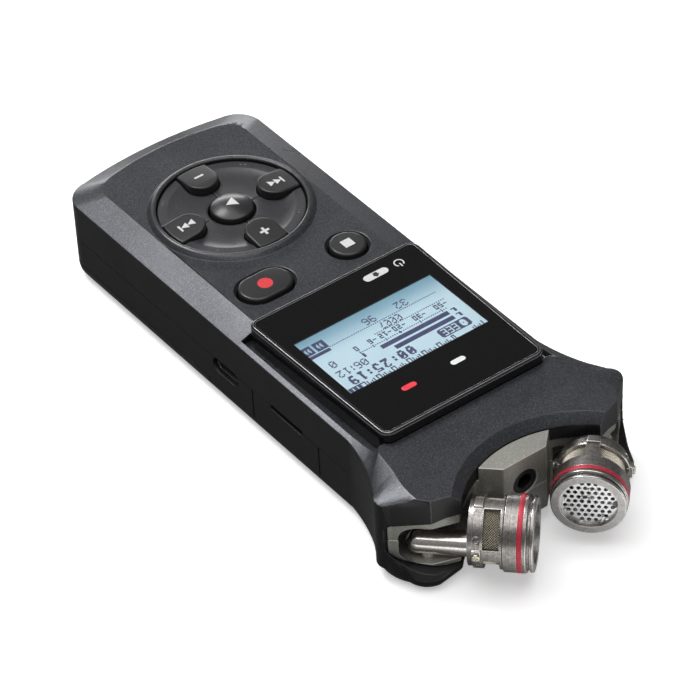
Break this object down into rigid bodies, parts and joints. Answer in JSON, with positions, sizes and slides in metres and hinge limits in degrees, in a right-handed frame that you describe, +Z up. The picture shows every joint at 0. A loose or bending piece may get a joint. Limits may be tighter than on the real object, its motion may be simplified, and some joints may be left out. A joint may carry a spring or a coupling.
{
  "type": "portable audio recorder",
  "caption": "Hand-held sound recorder with swivelling stereo microphones between two horns, a raised display, a key wheel and a sliding battery door on the back.",
  "frame": {"origin": "centre of the bounding box's footprint, at the back face", "axes": "+Z up out of the face, +Y towards the microphones, +X the side with the USB socket"},
  "size_m": [0.066, 0.1583, 0.026],
  "materials": {
    "case_plastic": "fine-grained charcoal moulding",
    "chassis_metal": "warm grey metallic, satin",
    "frame_gloss": "polished black",
    "window_glass": "clear polished",
    "mask_print": "black print",
    "lcd_glass": "pale blue backlit",
    "lamp_white": "milky white",
    "lamp_red": "translucent red",
    "key_plastic": "satin black",
    "side_key_plastic": "satin black",
    "silicone": "matt",
    "board_laminate": "green solder mask",
    "socket_steel": "tinned",
    "socket_plastic": "black",
    "cell_wrap": "printed sleeve, no marks",
    "contact_nickel": "nickel plate",
    "tray_plastic": "black",
    "bush_brass": "turned",
    "speaker_black": "black",
    "screw_steel": "black zinc",
    "arm_nickel": "satin nickel",
    "mic_nickel": "turned, satin nickel",
    "mic_red": "crimson anodised",
    "grille_steel": "punched",
    "mesh_steel": "woven wire",
    "capsule_black": "black",
    "mic_screw_steel": "small pan heads"
  },
  "bodies": {
    "recorder": {"front_case": "case_plastic", "rear_case": "case_plastic", "chassis_upper": "chassis_metal", "chassis_lower": "chassis_metal", "display_frame": "frame_gloss", "display_window": "window_glass", "display_mask": "mask_print", "lcd_panel": "lcd_glass", "peak_lamp": "lamp_white", "record_lamp": "lamp_red", "main_board": "board_laminate", "key_board": "board_laminate", "key_mat": "silicone", "board_screws": "screw_steel", "usb_port": "socket_steel", "card_socket": "socket_steel", "mic_jack": "socket_plastic", "headphone_jack": "socket_plastic", "tripod_bush": "bush_brass", "speaker": "speaker_black", "battery_cells": "cell_wrap", "battery_contacts": "contact_nickel", "battery_tray": "tray_plastic", "case_screws": "screw_steel"},
    "key_plus": {"key_plus": "key_plastic"},
    "key_minus": {"key_minus": "key_plastic"},
    "key_skip_back": {"key_skip_back": "key_plastic"},
    "key_skip_forward": {"key_skip_forward": "key_plastic"},
    "key_quick": {"key_quick": "key_plastic"},
    "key_menu": {"key_menu": "key_plastic"},
    "key_playback": {"key_playback": "key_plastic"},
    "key_mark": {"key_mark": "key_plastic"},
    "key_play": {"key_play": "key_plastic"},
    "key_stop": {"key_stop": "key_plastic"},
    "key_record": {"key_record": "key_plastic"},
    "right_microphone": {"right_mic_arm": "arm_nickel", "right_mic_back_cap": "mic_nickel", "right_mic_cage": "mic_nickel", "right_mic_mesh": "mesh_steel", "right_mic_front_ring": "mic_nickel", "right_mic_band": "mic_red", "right_mic_grille": "grille_steel", "right_mic_capsule": "capsule_black", "right_mic_screws": "mic_screw_steel"},
    "left_microphone": {"left_mic_arm": "arm_nickel", "left_mic_back_cap": "mic_nickel", "left_mic_cage": "mic_nickel", "left_mic_mesh": "mesh_steel", "left_mic_front_ring": "mic_nickel", "left_mic_band": "mic_red", "left_mic_grille": "grille_steel", "left_mic_capsule": "capsule_black", "left_mic_screws": "mic_screw_steel"},
    "volume_rocker": {"volume_rocker": "side_key_plastic"},
    "hold_slider": {"hold_slider": "side_key_plastic"},
    "battery_door": {"battery_door": "case_plastic"},
    "memory_card": {"memory_card": "socket_plastic"}
  },
  "joints": [
    {"name": "plus_press", "type": "slide", "parent": "recorder", "child": "key_plus", "axis": [0, 0, -1], "range_m": [0, 0.0005], "stiffness_N_per_m": 800, "springref_m": -0.0003},
    {"name": "minus_press", "type": "slide", "parent": "recorder", "child": "key_minus", "axis": [0, 0, -1], "range_m": [0, 0.0005], "stiffness_N_per_m": 800, "springref_m": -0.0003},
    {"name": "skip_back_press", "type": "slide", "parent": "recorder", "child": "key_skip_back", "axis": [0, 0, -1], "range_m": [0, 0.0005], "stiffness_N_per_m": 800, "springref_m": -0.0003},
    {"name": "skip_forward_press", "type": "slide", "parent": "recorder", "child": "key_skip_forward", "axis": [0, 0, -1], "range_m": [0, 0.0005], "stiffness_N_per_m": 800, "springref_m": -0.0003},
    {"name": "quick_press", "type": "slide", "parent": "recorder", "child": "key_quick", "axis": [0, 0, -1], "range_m": [0, 0.0005], "stiffness_N_per_m": 800, "springref_m": -0.0003},
    {"name": "menu_press", "type": "slide", "parent": "recorder", "child": "key_menu", "axis": [0, 0, -1], "range_m": [0, 0.0005], "stiffness_N_per_m": 800, "springref_m": -0.0003},
    {"name": "playback_press", "type": "slide", "parent": "recorder", "child": "key_playback", "axis": [0, 0, -1], "range_m": [0, 0.0005], "stiffness_N_per_m": 800, "springref_m": -0.0003},
    {"name": "mark_press", "type": "slide", "parent": "recorder", "child": "key_mark", "axis": [0, 0, -1], "range_m": [0, 0.0005], "stiffness_N_per_m": 800, "springref_m": -0.0003},
    {"name": "play_press", "type": "slide", "parent": "recorder", "child": "key_play", "axis": [0, 0, -1], "range_m": [0, 0.0005], "stiffness_N_per_m": 800, "springref_m": -0.0003},
    {"name": "stop_press", "type": "slide", "parent": "recorder", "child": "key_stop", "axis": [0, 0, -1], "range_m": [0, 0.0005], "stiffness_N_per_m": 800, "springref_m": -0.0003},
    {"name": "record_press", "type": "slide", "parent": "recorder", "child": "key_record", "axis": [0, 0, -1], "range_m": [0, 0.0005], "stiffness_N_per_m": 800, "springref_m": -0.0003},
    {"name": "right_mic_swivel", "type": "hinge", "parent": "recorder", "child": "right_microphone", "pos_m": [0.0233, 0.05715, 0.0122], "axis": [0, 0, -1], "range_deg": [0, 90]},
    {"name": "left_mic_swivel", "type": "hinge", "parent": "recorder", "child": "left_microphone", "pos_m": [-0.0233, 0.05715, 0.0122], "axis": [0, 0, 1], "range_deg": [0, 90]},
    {"name": "volume_rock", "type": "hinge", "parent": "recorder", "child": "volume_rocker", "pos_m": [-0.0233, -0.00525, 0.0155], "axis": [0, 0, 1], "range_deg": [-2.5, 2.5], "stiffness_Nm_per_rad": 0.05},
    {"name": "hold_slide", "type": "slide", "parent": "recorder", "child": "hold_slider", "axis": [0, 1, 0], "range_m": [0, 0.003]},
    {"name": "battery_door_slide", "type": "slide", "parent": "recorder", "child": "battery_door", "axis": [0, -1, 0], "range_m": [0, 0.006]},
    {"name": "card_push", "type": "slide", "parent": "recorder", "child": "memory_card", "axis": [-1, 0, 0], "range_m": [0, 0.0008], "stiffness_N_per_m": 400, "springref_m": -0.0003}
  ]
}
